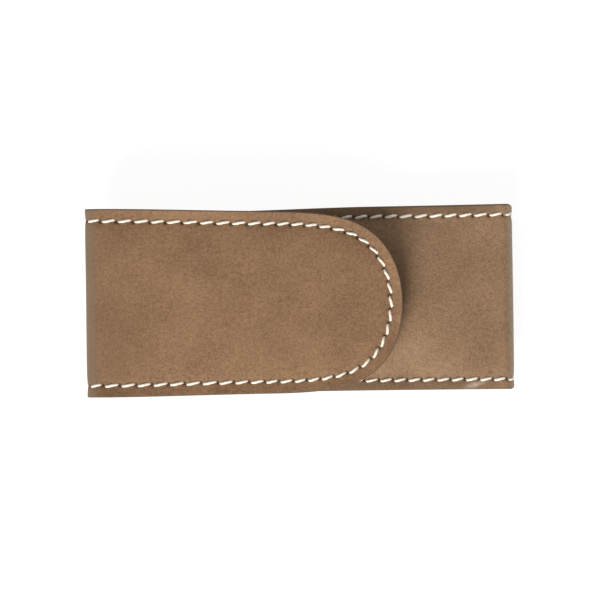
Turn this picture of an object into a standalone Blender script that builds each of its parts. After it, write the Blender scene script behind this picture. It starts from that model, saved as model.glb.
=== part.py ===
"""A slim leather flap case: a lined, saddle-stitched pouch with a tongue-shaped flap and a belt loop.

The case lies on its back. +X runs from the flap's fold to the closed end of the pouch, +Y across the
case and +Z out of its front. The origin is on the resting plane, below the middle of the case.
"""

import math

import bpy
import bmesh
import numpy as np
from mathutils import Vector

MM = 0.001  # lengths below are in millimetres, and meshes are in metres

# Driving sizes
LEFT = -65.0  # outer face of the flap's fold
RIGHT = 65.0  # outer face of the end fold
LEATHER = 2.0
LINING = 0.6
GAP = 0.3  # air kept between two neighbours
SKIN_GAP = 0.25  # air between leather and its lining

# Pouch
WAIST = 27.85  # half the width at the middle of the case
FLARE = 0.25  # how much wider each edge is at the ends
MOUTH_X = -58.0  # edge of the front panel that the flap covers
SEAM_INSET = 3.1  # stitch line to cut edge
MARGIN = 4.4  # stitched border that stays flat
STACK = 6.0  # all layers together in the seams
CENTRE = 11.9  # front's outer face above the back's outer face, in the middle
DOME_CORNER, DOME_FALL = 3, 1.2  # how square the front's dome is, and how it falls to its borders
LIFT = 1.4  # how far the back's borders stand above its middle
LIFT_FROM, LIFT_OVER = 21.0, 5.0
LIFT_ALONG = 16.0  # length over which the borders rise, from the fold on
END_LOW, END_HIGH = 0.8, 7.8  # back and front levels where they meet the end fold
END_START_BACK, END_START_FRONT = 40.0, 24.0  # where the panels start to bend towards the end fold
END_R = (END_HIGH - END_LOW) / 2
END_X = RIGHT - END_R - GAP / 2

# Flap and the wall it folds over
FOLD_R = 3.0  # outer radius of both folds at the left
FOLD_X = LEFT + FOLD_R
FOLD_HELD = math.radians(25)  # how far each leather reaches round a fold
FLAP_HIGH = 15.4  # flap's outer face above the back's outer face, at the fold
FLAP_RISE, RISE_OVER = 1.6, 55.0  # lift over the snap, and the length over which it comes
DROOP, DROOP_OVER, DROOP_POWER = 1.4, 30.0, 2.2  # how the flap's edges hang below its middle
FLAP_HALF = 27.7
FLAP_FLARE, FLARE_OVER = 0.9, 55.0  # extra half width at the fold, and the length over which it goes
TIP_X = 31.2
TONGUE = 73.0  # length over which the flap narrows to its tip
TONGUE_POWER = 6.7  # how square the tongue's rounded end is
SKEW = math.tan(math.radians(0.6))  # the flap leans a little towards -Y
FLAP_SEAM_INSET = 3.6
SPINE_SEAM_INSET = 3.4
LINING_TRIM, FLAP_LINING_TRIM = 0.6, 0.4  # linings end this far inside the leather's edge

# Stitching
THREAD_R = 0.35
GROOVE_HALF, GROOVE_DEPTH = 1.3, 1.0
THREAD_SUNK = 0.3  # middle of the thread below the leather's face
SEAM_END = 1.0  # threads end this far inside the leather's edges

# Belt loop
TUNNEL = 5.0
LOOP_HALF_WIDTH = 17.0
LOOP_FLAT = 24.0  # half the stretch that rests on the table
LOOP_BEND, LOOP_TURN = 1.8, math.radians(58)
LOOP_SEAM, LOOP_END = 33.0, 35.0
BACK_Z = LEATHER + TUNNEL  # the back's outer face above the resting plane
END_MIDDLE = BACK_Z + (END_LOW + END_HIGH) / 2  # centre of the end fold

# Hidden snap fastener
SNAP_X = 9.0
SNAP_SINK = 0.6  # pocket in the front panel for the stud's base
EYELET_SINK = 0.55  # pocket for the eyelet, behind the same panel
STUD_SEAT_R, EYELET_SEAT_R, CAP_SEAT_R = 5.8, 5.6, 6.6
POST_HOLE_R, LINING_HOLE_R = 2.2, 2.3
CAP_HEAD = 0.75  # depth of the cap's pocket in the flap
CUT = 3.0  # how far a cutter reaches past the leather
SNAP_SIDES = 24
RING_R, RING_Z, WIRE_R, RING_SIDES = 3.15, 0.52, 0.22, 8  # spring ring in the socket

# Meshing
WELD = 0.001  # points closer than this become one
SAME_PLACE = 0.01

COLOURS = {
    "leather": ((0.275, 0.155, 0.088), 0.72, 0.0),
    "lining": ((0.030, 0.030, 0.034), 0.9, 0.0),
    "thread": ((0.88, 0.80, 0.66), 0.6, 0.0),
    "nickel": ((0.62, 0.60, 0.56), 0.28, 1.0),
}


# Small helpers

def smooth(t):
    t = min(max(t, 0.0), 1.0)
    return t * t * (3 - 2 * t)


def mix(a, b, t):
    return a + (b - a) * t


def spread(start, end, count):
    return [float(v) for v in np.linspace(start, end, count)]


def material(name, kind):
    colour, roughness, metallic = COLOURS[kind]
    made = bpy.data.materials.new(name)
    made.use_nodes = True
    shader = made.node_tree.nodes["Principled BSDF"]
    shader.inputs["Base Color"].default_value = (*colour, 1.0)
    shader.inputs["Roughness"].default_value = roughness
    shader.inputs["Metallic"].default_value = metallic
    made.diffuse_color = (*colour, 1.0)
    return made


def add(name, mesh, kind, parent=None):
    """Puts a mesh drawn in world coordinates into the scene, with its origin on its parent's."""
    piece = bpy.data.objects.new(name, mesh)
    bpy.context.scene.collection.objects.link(piece)
    piece.data.materials.append(material(name, kind))
    if parent is not None:
        origin = parent.matrix_world.translation
        for point in mesh.vertices:
            point.co -= origin
        piece.parent = parent
    return piece


def empty(name, place, parent=None):
    made = bpy.data.objects.new(name, None)
    made.location = place
    bpy.context.scene.collection.objects.link(made)
    if parent is not None:
        made.parent = parent
        made.location = Vector(place) - parent.matrix_world.translation
    bpy.context.view_layer.update()
    return made


def solid_between(name, outer, inner, kind, parent=None, tip=False):
    """A closed sheet between two matching grids of points. With tip, the last row is folded shut."""
    rows, columns = len(outer), len(outer[0])
    bm = bmesh.new()
    faces = [[[bm.verts.new([c * MM for c in p]) for p in row] for row in grid] for grid in (outer, inner)]
    top, bottom = faces
    for i in range(rows - 1):
        for j in range(columns - 1):
            bm.faces.new((top[i][j], top[i + 1][j], top[i + 1][j + 1], top[i][j + 1]))
            bm.faces.new((bottom[i][j], bottom[i][j + 1], bottom[i + 1][j + 1], bottom[i + 1][j]))
        for j in (0, columns - 1):
            bm.faces.new((top[i][j], bottom[i][j], bottom[i + 1][j], top[i + 1][j]))
    for i in (0,) if tip else (0, rows - 1):
        for j in range(columns - 1):
            bm.faces.new((top[i][j], top[i][j + 1], bottom[i][j + 1], bottom[i][j]))
    bmesh.ops.remove_doubles(bm, verts=bm.verts, dist=WELD * MM)
    bmesh.ops.recalc_face_normals(bm, faces=bm.faces)
    mesh = bpy.data.meshes.new(name)
    bm.to_mesh(mesh)
    bm.free()
    return add(name, mesh, kind, parent)


def thread(name, points, parent=None):
    """One run of waxed thread along a line of points."""
    curve = bpy.data.curves.new(name, "CURVE")
    curve.dimensions = "3D"
    curve.bevel_depth = THREAD_R * MM
    curve.bevel_resolution = 1
    curve.use_fill_caps = True
    curve.render_resolution_u = 0
    spline = curve.splines.new("POLY")
    spline.points.add(len(points) - 1)
    origin = parent.matrix_world.translation if parent else Vector((0, 0, 0))
    for place, point in zip(points, spline.points):
        point.co = (*(Vector(place) * MM - origin), 1.0)
    piece = bpy.data.objects.new(name, curve)
    bpy.context.scene.collection.objects.link(piece)
    curve.materials.append(material(name, "thread"))
    piece.parent = parent
    return piece


def turned(name, profile, centre, kind="nickel", parent=None):
    """A ring or disc turned about a vertical axis. profile is a closed loop of (radius, height)."""
    bm = bmesh.new()
    rings = []
    for k in range(SNAP_SIDES):
        turn = 2 * math.pi * k / SNAP_SIDES
        x, y = math.cos(turn), math.sin(turn)
        rings.append([
            bm.verts.new(((centre[0] + r * x) * MM, (centre[1] + r * y) * MM, (centre[2] + z) * MM))
            for r, z in profile
        ])
    count = len(profile)
    for k in range(SNAP_SIDES):
        here, after = rings[k], rings[(k + 1) % SNAP_SIDES]
        for j in range(count):
            corners = (here[j], after[j], after[(j + 1) % count], here[(j + 1) % count])
            if profile[j][0] > 0 or profile[(j + 1) % count][0] > 0:
                bm.faces.new(corners)
    bmesh.ops.remove_doubles(bm, verts=bm.verts, dist=WELD * MM)
    bmesh.ops.recalc_face_normals(bm, faces=bm.faces)
    mesh = bpy.data.meshes.new(name)
    bm.to_mesh(mesh)
    bm.free()
    mesh.shade_smooth()
    mesh.set_sharp_from_angle(angle=math.radians(40))
    return add(name, mesh, kind, parent)


def bore(target, radius, low, high, parent=None):
    """Cuts a round hole or pocket at the snap, from height low to height high."""
    bpy.ops.mesh.primitive_cylinder_add(
        vertices=SNAP_SIDES, radius=radius * MM, depth=(high - low) * MM,
        location=(SNAP_X * MM, SNAP_Y * MM, (low + high) / 2 * MM),
    )
    cutter = bpy.context.object
    cutter.name = target.name + "_cutter"
    cutter.hide_render = True
    cutter.display_type = "WIRE"
    if parent is not None:
        cutter.location -= parent.matrix_world.translation
        cutter.parent = parent
    cut = target.modifiers.new("bore", "BOOLEAN")
    cut.operation = "DIFFERENCE"
    cut.solver = "EXACT"
    cut.object = cutter


# The case's surfaces, as heights above the resting plane

def half_width(x):
    return WAIST + FLARE * (x / RIGHT) ** 2


def back_lift(x):
    return LIFT * smooth((x - FOLD_X) / LIFT_ALONG)


def back_outer(x, y):
    """Outer face of the back: flat, with lifted borders, and level where the end fold starts."""
    border = back_lift(x) * smooth((abs(y) - LIFT_FROM) / LIFT_OVER)
    end = smooth((x - END_START_BACK) / (END_X - END_START_BACK))
    return BACK_Z + mix(border, END_LOW, end)


def front_outer(x, y):
    """Outer face of the front: flat stitched borders with a full, flat-topped dome between them."""
    border = back_lift(x) + STACK
    across = min(abs(y) / (half_width(x) - MARGIN), 1.0)
    dome = (1 - across ** DOME_CORNER) ** DOME_FALL
    end = smooth((x - END_START_FRONT) / (END_X - END_START_FRONT))
    return BACK_Z + mix(border + (CENTRE - border) * dome, END_HIGH, end)


def flap_half_width(x):
    wide = FLAP_HALF + FLAP_FLARE * smooth((FOLD_X + FLARE_OVER - x) / FLARE_OVER)
    along = max(x - (TIP_X - TONGUE), 0.0) / TONGUE
    return wide * math.sqrt(max(1 - along ** TONGUE_POWER, 0.0))


def flap_outer(x, y):
    """Outer face of the flap: level at the fold, then lifted by the snap, with drooping edges."""
    lift = FLAP_RISE * smooth((x - FOLD_X) / RISE_OVER)
    droop = DROOP * smooth((x - FOLD_X) / DROOP_OVER) * (abs(y) / FLAP_HALF) ** DROOP_POWER
    return BACK_Z + FLAP_HIGH + lift - droop


def skewed(x, y):
    return y - SKEW * (x - LEFT)


def groove(inset, line):
    """Depth of a stitching groove at this distance from the cut edge."""
    return GROOVE_DEPTH * max(0.0, 1 - abs(inset - line) / GROOVE_HALF)


# Rows of points across the pouch and the flap

INNER = (0.86, 0.68, 0.45, 0.2)  # shares of the half width inside the stitched border
FLAP_INNER = (0.3, 0.65)  # the same for the flap, from its border to its middle
FLAT_ROWS, BEND_ROWS, FOLD_ROWS = 8, 7, 11
FLAP_ROWS, TONGUE_ROWS = 7, 15
SEAM_POINTS = 20  # points of a thread along a panel


def pouch_columns(half, line):
    """(y, inset) from edge to edge, with the groove's own lines."""
    insets = [0.0, line - GROOVE_HALF, line, line + GROOVE_HALF]
    reach = half - insets[-1]
    upper = [(half - d, d) for d in insets] + [(reach * f, half) for f in INNER]
    return [(-y, d) for y, d in upper] + [(0.0, half)] + [(y, d) for y, d in reversed(upper)]


def stations_between(start, bend, end):
    """Places along the case, closer together where a panel bends towards the end fold."""
    return spread(start, bend, FLAT_ROWS) + spread(bend, end, BEND_ROWS)[1:]


def wrap(turn, depth, centre_z, up):
    """A point on a fold at the left, turn radians from the panel that it joins."""
    r = FOLD_R - depth
    return FOLD_X - r * math.sin(turn), centre_z + up * r * math.cos(turn)


BOTTOM_CENTRE = BACK_Z + FOLD_R
TOP_CENTRE = BACK_Z + FLAP_HIGH - FOLD_R


def make_back_panel():
    outer, inner = [], []
    for turn in (FOLD_HELD, FOLD_HELD / 2):
        rows = ([], [])
        for y, inset in pouch_columns(half_width(FOLD_X), SEAM_INSET):
            for row, depth in zip(rows, (groove(inset, SEAM_INSET), LEATHER)):
                x, z = wrap(turn, depth, BOTTOM_CENTRE, -1)
                row.append((x, y, z))
        outer.append(rows[0])
        inner.append(rows[1])
    for x in stations_between(FOLD_X, END_START_BACK, END_X - GAP / 2):
        columns = pouch_columns(half_width(x), SEAM_INSET)
        outer.append([(x, y, back_outer(x, y) + groove(d, SEAM_INSET)) for y, d in columns])
        inner.append([(x, y, back_outer(x, y) + LEATHER) for y, d in columns])
    return solid_between("back_panel", outer, inner, "leather")


def make_front_panel():
    outer, inner = [], []
    for x in stations_between(MOUTH_X, END_START_FRONT, END_X - GAP / 2):
        columns = pouch_columns(half_width(x), SEAM_INSET)
        outer.append([(x, y, front_outer(x, y) - groove(d, SEAM_INSET)) for y, d in columns])
        inner.append([(x, y, front_outer(x, y) - LEATHER) for y, d in columns])
    panel = solid_between("front_panel", outer, inner, "leather")
    bore(panel, STUD_SEAT_R, STUD_Z, STUD_Z + CUT)
    bore(panel, POST_HOLE_R, STUD_Z - CUT, STUD_Z + CUT)
    bore(panel, EYELET_SEAT_R, STUD_Z - CUT, EYELET_Z + EYELET_SINK)
    return panel


def make_end_fold():
    """The half-round fold that joins the front to the back at the closed end."""
    outer, inner = [], []
    start = math.asin(GAP / 2 / END_R)
    for turn in spread(-math.pi / 2 + start, math.pi / 2 - start, FOLD_ROWS):
        rows = ([], [])
        for y, inset in pouch_columns(half_width(RIGHT), SEAM_INSET):
            for row, depth in zip(rows, (groove(inset, SEAM_INSET), LEATHER)):
                r = END_R - depth
                row.append((END_X + GAP / 2 + r * math.cos(turn), y, END_MIDDLE + r * math.sin(turn)))
        outer.append(rows[0])
        inner.append(rows[1])
    return solid_between("end_fold", outer, inner, "leather")


def make_pocket_lining(name, stations, low, high):
    """A suede lining between two heights, each a function of x and y."""
    top, bottom = [], []
    for x in stations:
        half = half_width(x)
        reach = half - LINING_TRIM
        columns = [max(min(y, reach), -reach) for y, inset in pouch_columns(half, SEAM_INSET)]
        top.append([(x, y, high(x, y)) for y in columns])
        bottom.append([(x, y, low(x, y)) for y in columns])
    return solid_between(name, top, bottom, "lining")


# The flap: rows that follow its rounded outline

def flap_stations():
    """(x, half width) from the fold to the tip, closer together round the tongue."""
    shoulder = TIP_X - TONGUE
    straight = spread(FOLD_X, shoulder, FLAP_ROWS)[:-1]
    turns = spread(math.pi / 2, 0, TONGUE_ROWS)
    tongue = [shoulder + TONGUE * math.cos(turn) ** (2 / TONGUE_POWER) for turn in turns]
    tongue[0], tongue[-1] = shoulder, TIP_X
    return [(x, flap_half_width(x)) for x in straight + tongue]


def inward(points):
    """Unit normals that point into the flap, for the upper half of its outline."""
    found = []
    for i, (x, y) in enumerate(points):
        before = points[max(i - 1, 0)]
        after = points[i + 1] if i + 1 < len(points) else (x, -points[i - 1][1])
        if i + 1 == len(points):
            before = points[i - 1]
            after = (before[0], -before[1])
        dx, dy = after[0] - before[0], after[1] - before[1]
        long = math.hypot(dx, dy)
        found.append((dy / long, -dx / long))
    found[0] = (0.0, -1.0)
    return found


def flap_rows(trim, line):
    """Rows of (x, y, inset) across the flap. trim draws the whole outline in."""
    outline = flap_stations()
    centre_x = TIP_X - FLAP_HALF
    insets = [trim, line - GROOVE_HALF, line, line + GROOVE_HALF]
    rows = []
    for (x, y), (nx, ny) in zip(outline, inward(outline)):
        upper = [(x + nx * d, y + ny * d, d) for d in insets]
        last, middle = upper[-1], min(x, centre_x)
        upper += [(mix(last[0], middle, f), mix(last[1], 0.0, f), FLAP_HALF) for f in FLAP_INNER]
        rows.append([(a, -b, d) for a, b, d in upper] + [(middle, 0.0, FLAP_HALF)] +
                    [(a, b, d) for a, b, d in reversed(upper)])
    return rows


def flap_sheet(name, kind, trim, high, low, grooved, parent):
    """A layer of the flap between two depths below its outer face."""
    line = FLAP_SEAM_INSET
    outer, inner = [], []
    rows = flap_rows(trim, line)
    for turn in (FOLD_HELD, FOLD_HELD / 2) if grooved else ():
        pair = ([], [])
        for x, y, inset in rows[0]:
            for row, depth in zip(pair, (high + groove(inset, line), low)):
                fx, fz = wrap(turn, depth, TOP_CENTRE, 1)
                row.append((fx, y, fz))
        outer.append(pair[0])
        inner.append(pair[1])
    for row in rows:
        sunk = [groove(d, line) if grooved else 0.0 for x, y, d in row]
        outer.append([(x, skewed(x, y), flap_outer(x, y) - high - g) for (x, y, d), g in zip(row, sunk)])
        inner.append([(x, skewed(x, y), flap_outer(x, y) - low) for x, y, d in row])
    return solid_between(name, outer, inner, kind, parent, tip=True)


def make_flap(parent):
    leather = flap_sheet("flap_leather", "leather", 0.0, 0.0, LEATHER, True, parent)
    bore(leather, CAP_SEAT_R, CAP_Z - CUT, CAP_Z + CAP_HEAD, parent)
    under = LEATHER + SKIN_GAP
    lining = flap_sheet("flap_lining", "lining", FLAP_LINING_TRIM, under, under + LINING, False, parent)
    bore(lining, LINING_HOLE_R, CAP_Z - CUT, CAP_Z + CUT, parent)


def make_spine(parent):
    """The end wall between the two folds, with its lining."""
    half = half_width(LEFT)
    columns = pouch_columns(half, SPINE_SEAM_INSET)
    stations = [("low", math.pi / 2 - FOLD_HELD), ("low", math.pi / 2 - FOLD_HELD / 2), ("low", math.pi / 2),
                ("high", math.pi / 2), ("high", math.pi / 2 - FOLD_HELD / 2), ("high", math.pi / 2 - FOLD_HELD)]
    outer, inner = [], []
    for end, turn in stations:
        centre, up = (BOTTOM_CENTRE, -1) if end == "low" else (TOP_CENTRE, 1)
        pair = ([], [])
        for y, inset in columns:
            for row, depth in zip(pair, (groove(inset, SPINE_SEAM_INSET), LEATHER)):
                x, z = wrap(turn, depth, centre, up)
                row.append((x, y, z))
        outer.append(pair[0])
        inner.append(pair[1])
    solid_between("flap_spine", outer, inner, "leather", parent)

    face = LEFT + LEATHER + SKIN_GAP
    width = half - LINING_TRIM
    rows = [BOTTOM_CENTRE + GAP, TOP_CENTRE - GAP]
    grids = [[[(x, y, z) for y in (-width, 0.0, width)] for z in rows] for x in (face, face + LINING)]
    solid_between("spine_lining", grids[0], grids[1], "lining", parent)


# Stitching

def make_pouch_thread(name, side):
    """One seam: along the front, round the end fold and back along the back."""
    def line_at(x):
        return side * (half_width(x) - SEAM_INSET)

    points = []
    for x in spread(MOUTH_X + SEAM_END, END_X, SEAM_POINTS):
        points.append((x, line_at(x), front_outer(x, line_at(x)) - THREAD_SUNK))
    r = END_R - THREAD_SUNK
    for turn in spread(math.pi / 2, -math.pi / 2, FOLD_ROWS)[1:-1]:
        points.append((END_X + GAP / 2 + r * math.cos(turn), line_at(RIGHT), END_MIDDLE + r * math.sin(turn)))
    for x in spread(END_X, FOLD_X, SEAM_POINTS):
        points.append((x, line_at(x), back_outer(x, line_at(x)) + THREAD_SUNK))
    thread(name, points)


def make_spine_thread(name, side, parent):
    y = side * (half_width(LEFT) - SPINE_SEAM_INSET)
    thread(name, [(LEFT + THREAD_SUNK, y, z) for z in spread(BOTTOM_CENTRE, TOP_CENTRE, 3)], parent)


def make_flap_thread(parent):
    outline = flap_stations()
    upper = []
    for (x, y), (nx, ny) in zip(outline, inward(outline)):
        a, b = x + nx * FLAP_SEAM_INSET, y + ny * FLAP_SEAM_INSET
        upper.append((a, b, flap_outer(a, b) - THREAD_SUNK))
    lower = [(x, -y, z) for x, y, z in upper]
    points = [(x, skewed(x, y), z) for x, y, z in upper + lower[-2::-1]]
    thread("flap_seam_thread", points, parent)


# Belt loop

def walk(start, moves, steps=4):
    """A line of straight runs (length, 0) and bends (radius, turn in radians), setting out along +X."""
    (x, z), heading = start, 0.0
    points = [start]
    for size, turn in moves:
        count = steps if turn else 1
        length = 2 * size * math.sin(abs(turn) / count / 2) if turn else size
        for _ in range(count):
            heading += turn / count / 2
            x, z = x + length * math.cos(heading), z + length * math.sin(heading)
            heading += turn / count / 2
            points.append((x, z))
    return points


def offset(points, distance):
    """The same open line moved sideways, to its left."""
    moved = []
    for i, (a, b) in enumerate(points):
        before, after = points[max(i - 1, 0)], points[min(i + 1, len(points) - 1)]
        da, db = after[0] - before[0], after[1] - before[1]
        long = math.hypot(da, db)
        moved.append((a - db / long * distance, b + da / long * distance))
    return moved


def loop_middle():
    """Middle line of one half of the loop, from its centre to its stitched end."""
    low, high = LEATHER / 2, BACK_Z - GAP - LEATHER / 2
    straight = (high - low - 2 * LOOP_BEND * (1 - math.cos(LOOP_TURN))) / math.sin(LOOP_TURN)
    moves = [(LOOP_FLAT * 0.5, 0), (LOOP_FLAT * 0.5, 0), (LOOP_BEND, LOOP_TURN), (straight, 0),
             (LOOP_BEND, -LOOP_TURN)]
    reached = walk((0.0, low), moves)[-1][0]
    moves += [(LOOP_SEAM - GROOVE_HALF - reached, 0), (GROOVE_HALF, 0), (GROOVE_HALF, 0),
              (LOOP_END - LOOP_SEAM - GROOVE_HALF, 0)]
    return walk((0.0, low), moves)


def make_belt_loop():
    half = loop_middle()
    under, over = offset(half, -LEATHER / 2), offset(half, LEATHER / 2)
    under = [(x, z + (GROOVE_DEPTH if abs(x - LOOP_SEAM) < SAME_PLACE else 0.0)) for x, z in under]
    columns = (-LOOP_HALF_WIDTH, 0.0, LOOP_HALF_WIDTH)
    grids = []
    for line in (under, over):
        whole = [(-x, z) for x, z in reversed(line[1:])] + line
        grids.append([[(x, y, z) for y in columns] for x, z in whole])
    solid_between("belt_loop", grids[0], grids[1], "leather")
    z = BACK_Z - GAP - LEATHER + THREAD_SUNK
    reach = LOOP_HALF_WIDTH - SEAM_END
    for name, side in (("left_loop_thread", -1), ("right_loop_thread", 1)):
        thread(name, [(side * LOOP_SEAM, y, z) for y in (-reach, 0, reach)])


# Snap fastener

SNAP_Y = skewed(SNAP_X, 0.0)
STUD_Z = BACK_Z + CENTRE - SNAP_SINK  # seat of the stud's base
EYELET_Z = BACK_Z + CENTRE - LEATHER  # the front panel's inner face at the snap
SOCKET_Z = STUD_Z + 1.0  # lower face of the socket
CAP_Z = BACK_Z + FLAP_HIGH + FLAP_RISE - LEATHER  # the flap leather's inner face at the snap


def make_snap(flap_parent):
    low = (SNAP_X, SNAP_Y, STUD_Z)
    turned("snap_stud", [(0, 1.8), (1.9, 1.8), (2.5, 1.55), (2.6, 1.3), (2.3, 1.05), (2.2, 0.8), (5.2, 0.7),
                         (5.2, 0.2), (1.85, 0.2), (1.85, 1.3), (0, 1.3)], low)
    turned("snap_eyelet", [(1.2, 0.1), (5.0, 0.1), (5.0, 0.45), (1.6, 0.55), (1.6, 2.35), (1.2, 2.35)],
           (SNAP_X, SNAP_Y, EYELET_Z))
    high = (SNAP_X, SNAP_Y, SOCKET_Z)
    turned("snap_socket", [(3.3, 0), (4.6, 0), (4.8, 0.3), (4.8, 1.25), (5.4, 1.4), (5.4, 1.65), (2.1, 1.65),
                           (2.1, 1.3), (3.3, 1.3), (3.6, 0.75), (3.6, 0.3)], high, parent=flap_parent)
    turns = spread(0, 2 * math.pi, RING_SIDES + 1)[:-1]
    ring = [(RING_R + WIRE_R * math.cos(turn), RING_Z + WIRE_R * math.sin(turn)) for turn in turns]
    turned("snap_ring_spring", ring, high, parent=flap_parent)
    turned("snap_cap", [(0, 0.6), (5.8, 0.6), (6.1, 0.4), (6.1, 0.1), (1.8, 0.1), (1.8, -1.45), (2.6, -1.5),
                        (2.6, -1.65), (1.3, -1.65), (1.3, 0.2), (0, 0.2)],
           (SNAP_X, SNAP_Y, CAP_Z), parent=flap_parent)


# Build

for old in list(bpy.data.objects):
    bpy.data.objects.remove(old)

hinge_x = FOLD_X - (FOLD_R - LEATHER / 2) * math.pi / 4
end_hinge = empty("end_fold_axis", Vector((hinge_x, 0, BACK_Z + hinge_x - LEFT)) * MM)
flap_hinge = empty("flap_fold_axis", Vector((hinge_x, 0, BACK_Z + FLAP_HIGH - (hinge_x - LEFT))) * MM,
                   end_hinge)

make_back_panel()
make_front_panel()
make_end_fold()
skin = LEATHER + SKIN_GAP
make_pocket_lining("back_lining", stations_between(FOLD_X, END_START_BACK, END_X - GAP / 2)[:-1],
                   lambda x, y: back_outer(x, y) + skin, lambda x, y: back_outer(x, y) + skin + LINING)
make_pocket_lining("front_lining", stations_between(MOUTH_X, END_START_FRONT, END_X - GAP / 2)[:-1],
                   lambda x, y: front_outer(x, y) - skin - LINING, lambda x, y: front_outer(x, y) - skin)
make_spine(end_hinge)
make_flap(flap_hinge)
make_snap(flap_hinge)
for side_name, side in (("upper", 1), ("lower", -1)):
    make_pouch_thread(side_name + "_seam_thread", side)
    make_spine_thread(side_name + "_spine_thread", side, end_hinge)
make_flap_thread(flap_hinge)
make_belt_loop()
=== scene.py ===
"""Looks of the slim leather flap case: leather, suede, saddle stitches, snap and belt loop on the frame."""
import math

import bpy
import bmesh
import numpy as np
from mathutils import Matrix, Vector


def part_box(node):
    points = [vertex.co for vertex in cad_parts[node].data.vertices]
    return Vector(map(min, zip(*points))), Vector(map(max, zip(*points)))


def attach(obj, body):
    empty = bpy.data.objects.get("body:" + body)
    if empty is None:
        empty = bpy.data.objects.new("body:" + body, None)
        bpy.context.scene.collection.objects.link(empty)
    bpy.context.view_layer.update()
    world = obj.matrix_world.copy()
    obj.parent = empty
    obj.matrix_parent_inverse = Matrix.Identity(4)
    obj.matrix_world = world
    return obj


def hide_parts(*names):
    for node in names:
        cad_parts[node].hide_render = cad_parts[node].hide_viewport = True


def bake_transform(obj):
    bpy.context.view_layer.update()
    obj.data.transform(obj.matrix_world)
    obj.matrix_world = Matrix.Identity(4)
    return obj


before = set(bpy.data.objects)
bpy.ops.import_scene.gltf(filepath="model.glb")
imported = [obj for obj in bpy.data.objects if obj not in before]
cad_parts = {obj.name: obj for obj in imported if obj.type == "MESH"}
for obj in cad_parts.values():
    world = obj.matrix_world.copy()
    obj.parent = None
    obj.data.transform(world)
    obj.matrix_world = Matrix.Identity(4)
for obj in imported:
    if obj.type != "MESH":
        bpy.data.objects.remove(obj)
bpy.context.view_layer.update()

MM = 0.001  # lengths below are in millimetres, and meshes are in metres


def side_of(node, corner, axis):
    """A CAD node's lowest (corner 0) or highest (corner 1) coordinate, in millimetres."""
    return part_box(node)[corner][axis] / MM


# Read from the frame
X, Y, Z = 0, 1, 2
LEFT = side_of("flap_spine", 0, X)
RIGHT = side_of("end_fold", 1, X)
MOUTH_X = side_of("front_panel", 0, X)
TIP_X = side_of("flap_leather", 1, X)
BACK_Z = side_of("back_panel", 0, Z)
FLAP_TOP = side_of("flap_leather", 1, Z)
END_HALF = side_of("end_fold", 1, Y)
LOOP_END = side_of("belt_loop", 1, X)
LOOP_HALF_WIDTH = side_of("belt_loop", 1, Y)
SNAP_X = (side_of("snap_stud", 0, X) + side_of("snap_stud", 1, X)) / 2
SNAP_Y = (side_of("snap_stud", 0, Y) + side_of("snap_stud", 1, Y)) / 2
STUD_Z = side_of("snap_stud", 0, Z)
SOCKET_Z = side_of("snap_socket", 0, Z)

# Layers
LEATHER = 2.0
HAIR = 0.02  # air between glued layers
LINING = 0.7
SEAM_LINING = 0.94  # the suede fills the stitched border
SUEDE_TRIM, MOUTH_TRIM, SUEDE_ROUND = 0.25, 0.4, 0.3  # the suede ends short of the leather's edge
FLAP_SUEDE_TRIM = 0.2
ROUND = 0.45  # radius of the burnished cut edges

# The pouch's shape, as in the CAD
FLARE = 0.25
WAIST = END_HALF - FLARE
MARGIN = 4.4
STACK = 6.0
CENTRE = 11.9
DOME_CORNER, DOME_FALL = 3, 1.2
LIFT, LIFT_FROM, LIFT_OVER, LIFT_ALONG = 1.4, 21.0, 5.0, 16.0
END_LOW, END_HIGH = 0.8, 7.8
END_START_BACK, END_START_FRONT = 40.0, 24.0
END_R = (END_HIGH - END_LOW) / 2
BEND_X = RIGHT - END_R
BEND_Z = BACK_Z + (END_LOW + END_HIGH) / 2

# The pouch's upper edge where it goes under the flap. The CAD keeps it straight.
TUCK, TUCK_CHANGE, TUCK_FROM, TUCK_OVER, TUCK_ALONG = 0.62, 0.84, -28.0, 50.0, 15.0

# The flap's shape, as in the CAD
FOLD_R = 3.0
FOLD_X = LEFT + FOLD_R
FLAP_RISE, RISE_OVER = 1.6, 55.0
DROOP, DROOP_OVER, DROOP_POWER = 1.4, 30.0, 2.2
FLAP_HALF, FLAP_FLARE, FLARE_OVER = 27.7, 0.9, 55.0
TONGUE, TONGUE_POWER = 73.0, 6.7
SHOULDER = TIP_X - TONGUE
LEAN = math.tan(math.radians(0.6))
LOW_CENTRE = BACK_Z + FOLD_R
HIGH_CENTRE = FLAP_TOP - FLAP_RISE - FOLD_R

# Unrolled lengths. Both strips start at the middle of the end wall: one runs down, one runs up.
WALL = (HIGH_CENTRE - LOW_CENTRE) / 2
WALL_MIDDLE = LOW_CENTRE + WALL
FOLD_ARC = FOLD_R * math.pi / 2
S_FOLD = WALL
S_BACK = S_FOLD + FOLD_ARC
S_END = S_BACK + BEND_X - FOLD_X
S_FRONT = S_END + END_R * math.pi
S_MOUTH = S_FRONT + BEND_X - MOUTH_X
HINGE_PAST_FOLD = 2.2
S_JOIN = S_BACK + HINGE_PAST_FOLD  # where the hinging stretch of the strip meets the still one

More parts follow.
